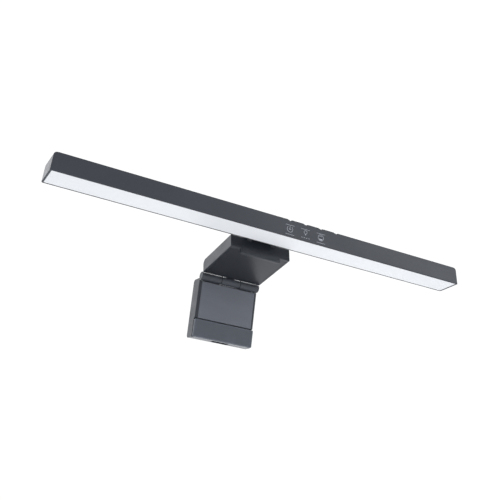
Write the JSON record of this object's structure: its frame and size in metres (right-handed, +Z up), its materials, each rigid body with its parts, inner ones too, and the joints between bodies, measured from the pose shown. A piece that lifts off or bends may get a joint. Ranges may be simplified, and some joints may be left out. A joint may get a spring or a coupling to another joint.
{
  "type": "monitor light bar",
  "caption": "Long screen-top lamp bar with touch keys, on a tilting clip head with a hinged weighted leg that hangs behind the monitor.",
  "frame": {"origin": "centre of the clip head's underside, in the plane that rests on the monitor's top edge", "axes": "+X along the bar, +Y from the user to behind the monitor, +Z up"},
  "size_m": [0.4016, 0.1198, 0.0793],
  "materials": {
    "bar_plastic": "fine-textured dark grey",
    "clip_plastic": "fine-textured dark grey",
    "leg_panel_plastic": "satin grey",
    "end_pad": "matt blue-grey",
    "soft_pad": "satin dark grey",
    "hinge_metal": "satin dark grey paint",
    "cast_metal": "matt dark grey paint",
    "diffuser_white": "frosted white",
    "reflector_white": "white",
    "bare_aluminium": "mill finish",
    "board_white": "white solder mask",
    "led_warm": "warm phosphor",
    "led_cool": "cool phosphor",
    "board_green": "green solder mask",
    "contact_metal": "bright",
    "chip_black": "black",
    "print_grey": "light grey print",
    "screw_steel": "zinc plated",
    "pin_steel": "ground",
    "wire_jacket": "black",
    "weight_iron": "blackened",
    "bush_brass": "machined",
    "socket_steel": "stamped"
  },
  "bodies": {
    "head": {"head_shell": "clip_plastic", "head_cover": "clip_plastic", "cover_screws": "screw_steel", "seat_pad": "soft_pad", "lip_pad": "soft_pad", "tilt_yoke": "cast_metal", "yoke_screws": "screw_steel", "tilt_shaft": "pin_steel", "tilt_washers": "pin_steel", "disc_springs": "pin_steel", "tilt_nut": "pin_steel", "head_hinge": "hinge_metal", "hinge_screws": "screw_steel", "hinge_bush": "bush_brass", "head_lead": "wire_jacket"},
    "bar": {"bar_housing": "bar_plastic", "end_cap_left": "bar_plastic", "end_cap_right": "bar_plastic", "diffuser": "diffuser_white", "reflector": "reflector_white", "heat_spreader": "bare_aluminium", "led_board": "board_white", "warm_leds": "led_warm", "cool_leds": "led_cool", "touch_board": "board_green", "touch_contacts": "contact_metal", "driver_chips": "chip_black", "touch_icons": "print_grey", "tilt_bracket": "cast_metal", "bracket_screws": "screw_steel", "bar_lead": "wire_jacket"},
    "leg": {"leg_shell": "clip_plastic", "leg_panel": "leg_panel_plastic", "leg_end_pad": "end_pad", "counterweight": "weight_iron", "weight_screws": "screw_steel", "leg_hinge": "hinge_metal", "hinge_pin": "pin_steel", "hinge_caps": "hinge_metal", "inlet_board": "board_green", "usb_shell": "socket_steel", "usb_tongue": "chip_black", "leg_lead": "wire_jacket"}
  },
  "joints": [
    {"name": "bar_tilt", "type": "hinge", "parent": "head", "child": "bar", "pos_m": [0, -0.0305, 0.0152], "axis": [1, 0, 0], "range_deg": [-30, 25]},
    {"name": "leg_swing", "type": "hinge", "parent": "head", "child": "leg", "pos_m": [0, 0.0313, -0.002], "axis": [1, 0, 0], "range_deg": [-98, 60]}
  ]
}
